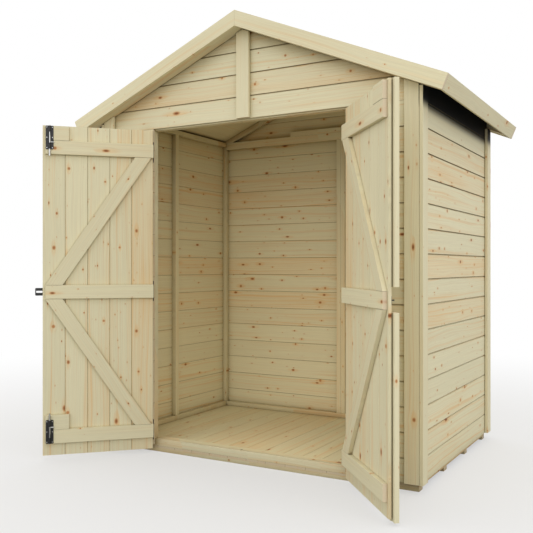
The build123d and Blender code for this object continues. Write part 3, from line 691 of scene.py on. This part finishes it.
class SHED_OT_trims(bpy.types.Operator):
    """Planed trims: corner trims, bargeboards, fascias and the gable's cover strip"""

    bl_idname = "shed.trims"
    bl_label = "Trims"

    def execute(self, context):
        # The upright trims' outer sides are painted near black as shade high under the eaves
        upright = timber_material(
            context, "planed_spruce_upright_trim", Z, X + Y, (X + Y, COUNT_FROM, TRIM_STRETCH), knots=0.55,
            warmth=0.6, eave="wall",
        )
        dress(upright, "front_corner_trims", "back_corner_trims", "gable_cover_strip")
        barge = timber_material(
            context, "planed_spruce_bargeboard", UP_SLOPE, OFF_SLOPE, (Y, COUNT_FROM, TRIM_STRETCH),
            fold=RIDGE_FOLD, knots=0.6, warmth=0.5,
        )
        dress(barge, "front_bargeboards", "back_bargeboards")
        verge = timber_material(
            context, "planed_spruce_verge", UP_SLOPE, OFF_SLOPE + Y, fold=RIDGE_FOLD, knots=0.2
        )
        dress(verge, "front_verge_rafters", "back_verge_rafters")
        fascia = timber_material(
            context, "planed_spruce_fascia", Y, Z, (X, COUNT_FROM, TRIM_STRETCH), knots=0.6, warmth=0.5
        )
        dress(fascia, "eave_fascias")
        return {"FINISHED"}


class SHED_OT_doors(bpy.types.Operator):
    """Two ledged and braced doors of upright boards"""

    bl_idname = "shed.doors"
    bl_label = "Doors"

    def execute(self, context):
        cover = context.scene.shed_timber.board_cover
        for name, closed in (("left_door", X), ("right_door", -X)):
            turn = door_turn(name)
            reach = turn.to_3x3() @ closed
            pin = turn @ Vector((-closed.x * PIN_X, PIN_Y, 0))
            edge = pin.dot(reach) + DOOR_BOARD_EDGE - BOARDS_BEFORE * cover
            boards = timber_material(
                context, "planed_spruce_" + name + "_boards", Z, reach, (reach, edge, cover), joint="vee"
            )
            dress(boards, name + "_boards")
            ledges = timber_material(
                context, "planed_spruce_" + name + "_ledges", reach, Z, (Z, COUNT_FROM, LEDGE_STRETCH),
                knots=0.9, warmth=0.5,
            )
            dress(ledges, name + "_ledges", name + "_bolt_packers")
            dress(self.brace_material(context, name, reach), name + "_braces")
        strips = timber_material(context, "planed_spruce_cover_strips", Z, X + Y, knots=0.5, warmth=0.4)
        dress(strips, "right_door_cover_strips")
        return {"FINISHED"}

    def brace_material(self, context, name, reach):
        """The braces rise and fall from the middle ledge, so the grain is mirrored there."""
        low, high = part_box(name + "_braces")
        middle = (high.z + low.z) / 2
        slope = math.atan2((high.z - low.z) / 2, BRACE_REACH)
        along = reach * math.cos(slope) - Z * math.sin(slope)
        aside = reach * math.sin(slope) + Z * math.cos(slope)
        return timber_material(
            context, "planed_spruce_" + name + "_braces", along, aside, (Z, COUNT_FROM, ONE_STRETCH),
            fold=(2, middle), knots=0.8, warmth=0.6,
        )


class SHED_OT_roof(bpy.types.Operator):
    """Roof sheets, seen from inside, and mineral felt on top"""

    bl_idname = "shed.roof"
    bl_label = "Roof"

    def execute(self, context):
        # The sheets' underside beyond the walls is painted near black as shade under the eaves
        sheet = timber_material(
            context, "smooth_spruce_sheet", Y, X, (X, COUNT_FROM, SIDE_STRETCH), knots=0.0, warmth=0.7,
            eave="roof", room=True,
        )
        dress(sheet, "left_roof_sheet", "right_roof_sheet")
        dress(self.felt_material(context), "roof_felt")
        self.clout_nails(context)
        return {"FINISHED"}

    def clout_nails(self, context):
        """Galvanised clout nails along the eaves, the verges and the edges of the ridge cap."""
        roof = context.scene.shed_roof
        low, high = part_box("roof_felt")
        inset, eave = roof.nail_inset, high.x - roof.nail_inset
        rows = round((high.y - low.y - 2 * inset) / roof.nail_spacing)
        along = [low.y + inset + (high.y - low.y - 2 * inset) * row / rows for row in range(rows + 1)]
        steps = round((eave - RIDGE_CAP_REACH) / roof.nail_spacing)
        spots = []
        for y in along:
            spots += [(RIDGE_CAP_REACH - inset, y, 0), (eave, y, FELT_THICK)]
        for step in range(1, steps):
            across = RIDGE_CAP_REACH + (eave - RIDGE_CAP_REACH) * step / steps
            spots += [(across, along[0], FELT_THICK), (across, along[-1], FELT_THICK)]
        places = []
        for side in (-1, 1):
            out_way = Vector((side * OFF_SLOPE.x, 0, OFF_SLOPE.z))
            for across, y, depth in spots:
                height = high.z - across * math.tan(PITCH) - depth / math.cos(PITCH)
                places.append(surface_place(Vector((side * across, y, height)), out_way, Y))
        nails = joined("felt_nails", clout_head(roof.nail_radius, CLOUT_HEAD_THICK), places)
        nails.data.materials.append(zinc_steel(context))
        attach(nails, "shed")

    def felt_material(self, context):
        """Mineral felt: bitumen sheet with pressed granules, so it is matt and speckled."""
        roof = context.scene.shed_roof
        material, node = new_material("mineral_felt")
        place = node("TexCoord").outputs["Object"]
        grit = node("TexVoronoi", place, 1 / roof.granule)
        drift = node("TexNoise", place, FELT_PATCHES, 4.0)
        shade = node("Math MULTIPLY", grit, drift)
        tone = node("Mix", shade, list(roof.felt), list(roof.felt_dark), **TINTS)
        relief = node("Bump", {"Height": grit, "Strength": 0.6, "Distance": 0.6 * MM})
        shader = node("BsdfPrincipled", {
            "Base Color": tone, "Roughness": 0.93, "Specular IOR Level": 0.25, "Normal": relief,
        })
        node("OutputMaterial", shader)
        return material


class SHED_OT_fittings(bpy.types.Operator):
    """Black hinges, bolt plates and hasp, with bright bolt rods"""

    bl_idname = "shed.fittings"
    bl_label = "Steel fittings"

    def execute(self, context):
        black = coated_steel(context)
        dress(black, "hinge_leaves", "left_door_hinge_straps", "right_door_hinge_straps",
              "left_door_bolt_plates", "hasp_plate", "hasp_strap", "hasp_staple")
        dress(zinc_steel(context), "top_bolt_rod", "bottom_bolt_rod")
        self.hinge_screws(context)
        self.plate_screws(context)
        return {"FINISHED"}

    def screws(self, name, body, radius, material, slot, places):
        """One piece for the screw heads of one fitting."""
        heads = joined(name, screw_head(radius), places)
        heads.data.materials.append(material)
        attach(heads, body)

    def hinge_screws(self, context):
        """Black screws in the hinge straps, the wall leaves, the hasp's plate and the staple's foot."""
        radius = context.scene.shed_fittings.strap_screw
        black = coated_steel(context)
        leaf = []
        for door, side in (("left_door", -1), ("right_door", 1)):
            turn = door_turn(door)
            strap = []
            for height in LEDGE_HEIGHTS:
                for reach in STRAP_SCREWS:
                    point = Vector((side * (PIN_X - reach), HINGE_FACE, height))
                    strap.append(turn @ surface_place(point, -Y, Z))
                for lift in LEAF_SCREWS:
                    point = Vector((side * (PIN_X + LEAF_SCREW_OUT), HINGE_FACE, height + lift))
                    leaf.append(surface_place(point, -Y, Z))
            for x, lift in HASP_SCREWS if side < 0 else STAPLE_SCREWS:
                point = Vector((x, HASP_FACE, HASP_HEIGHT + lift))
                strap.append(turn @ surface_place(point, -Y, Z))
            self.screws(door + "_strap_screws", door, radius, black, "black_steel", strap)
        self.screws("hinge_leaf_screws", "shed", radius, black, "black_steel", leaf)

    def plate_screws(self, context):
        """Bright screws in the two bolt plates."""
        turn = door_turn("left_door")
        places = []
        for low, high in BOLT_PLATES:
            for height in (low + BOLT_SCREW_END, (low + high) / 2, high - BOLT_SCREW_END):
                for aside in (-BOLT_SCREW_ASIDE, BOLT_SCREW_ASIDE):
                    point = Vector((BOLT_X + aside, BOLT_FACE, height))
                    places.append(turn @ surface_place(point, Y, Z))
        radius = context.scene.shed_fittings.plate_screw
        self.screws("bolt_plate_screws", "left_door", radius, zinc_steel(context), "zinc_steel", places)


class SHED_OT_stage(bpy.types.Operator):
    """Pale floor, soft lamps and the camera"""

    bl_idname = "shed.stage"
    bl_label = "Studio"

    def execute(self, context):
        studio = context.scene.shed_studio
        self.floor(context, studio)
        self.sky(context, studio)
        self.lamp(context, "key_lamp", KEY_LAMP, studio.key_power)
        self.lamp(context, "side_lamp", SIDE_LAMP, studio.side_power)
        self.lamp(context, "left_lamp", LEFT_LAMP, studio.left_power)
        self.lamp(context, "doorway_lamp", DOORWAY_LAMP, studio.door_power, studio.doorway)
        lens = bpy.data.cameras.new("camera")
        lens.lens = studio.lens
        lens.sensor_width = 36
        lens.clip_end = 200
        camera = bpy.data.objects.new("camera", lens)
        camera.location = studio.camera_place
        camera.rotation_euler = (math.pi / 2, 0, studio.camera_turn)
        context.scene.collection.objects.link(camera)
        context.scene.camera = camera
        context.scene.view_settings.view_transform = "Standard"
        return {"FINISHED"}

    def lamp(self, context, name, stand, power, tint=(1, 1, 1, 1)):
        """A soft lamp. stand is its place, what it looks at, and its width and height."""
        place, target, extent = stand
        light = bpy.data.lights.new(name, "AREA")
        light.shape = "RECTANGLE"
        light.size, light.size_y = extent
        light.energy = power
        light.color = tint[:3]
        holder = bpy.data.objects.new(name, light)
        holder.location = place
        holder.rotation_euler = (Vector(target) - Vector(place)).to_track_quat("-Z", "Y").to_euler()
        holder.visible_camera = False
        context.scene.collection.objects.link(holder)

    def sky(self, context, studio):
        """Even white light, and plain white where the camera looks past the floor."""
        world = bpy.data.worlds.new("studio_sky")
        context.scene.world = world
        world.use_nodes = True
        world.node_tree.nodes.clear()
        node = partial(add_node, world.node_tree)
        rays = node("LightPath").outputs
        seen = node("Math MAXIMUM", rays["Is Camera Ray"], rays["Is Glossy Ray"])
        seen = node("Math MAXIMUM", seen, rays["Is Transmission Ray"])
        light = node("Background", (1, 1, 1, 1), studio.sky_strength)
        white = node("Background", (1, 1, 1, 1), 1.0)
        node("OutputWorld", node("MixShader", seen, light, white))

    def floor(self, context, studio):
        """Wide pale floor that fades to white around the shed, and gives it less light than it shows."""
        mesh = bpy.data.meshes.new("studio_floor")
        corners = [(x * FLOOR_REACH, y * FLOOR_REACH, 0) for x, y in ((-1, -1), (1, -1), (1, 1), (-1, 1))]
        mesh.from_pydata(corners, [], [(0, 1, 2, 3)])
        floor = bpy.data.objects.new("studio_floor", mesh)
        floor.location.z = -FLOOR_DROP
        context.scene.collection.objects.link(floor)
        material, node = new_material("studio_floor")
        middle = node("VectorMath DISTANCE", node("TexCoord").outputs["Object"], FLOOR_MIDDLE)
        fade = node("MapRange", middle, FADE_START, FADE_END, FADE_FIRST, **SOFT)
        seen = node("LightPath").outputs["Is Camera Ray"]
        tone = node("Mix", seen, list(studio.floor_bounce), list(studio.floor), **TINTS)
        paint = node("BsdfDiffuse", tone)
        white = node("Emission", (1, 1, 1, 1), 1.0)
        node("OutputMaterial", node("MixShader", node("Math MULTIPLY", fade, seen), paint, white))
        mesh.materials.append(material)


class SHED_PT_panel(bpy.types.Panel):
    """The steps that dress the shed, in order"""

    bl_label = "Garden shed"
    bl_idname = "SHED_PT_panel"
    bl_space_type = "VIEW_3D"
    bl_region_type = "UI"
    bl_category = "Shed"

    def draw(self, context):
        for step in STEPS:
            self.layout.operator(step.bl_idname)


STEPS = (
    SHED_OT_walls,
    SHED_OT_framing,
    SHED_OT_floor,
    SHED_OT_trims,
    SHED_OT_doors,
    SHED_OT_roof,
    SHED_OT_fittings,
    SHED_OT_stage,
)
SETTINGS = (
    ("shed_timber", TimberSettings),
    ("shed_roof", RoofSettings),
    ("shed_fittings", FittingSettings),
    ("shed_studio", StudioSettings),
)


def register():
    """Register the settings, the steps and the panel."""
    for name, group in SETTINGS:
        bpy.utils.register_class(group)
        setattr(bpy.types.Scene, name, PointerProperty(type=group))
    for step in STEPS + (SHED_PT_panel,):
        bpy.utils.register_class(step)


def unregister():
    """Take away what register added."""
    for step in reversed(STEPS + (SHED_PT_panel,)):
        bpy.utils.unregister_class(step)
    for name, group in reversed(SETTINGS):
        delattr(bpy.types.Scene, name)
        bpy.utils.unregister_class(group)


def main():
    """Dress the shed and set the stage."""
    register()
    for step in STEPS:
        group, name = step.bl_idname.split(".")
        getattr(getattr(bpy.ops, group), name)()


if __name__ == "__main__":
    main()
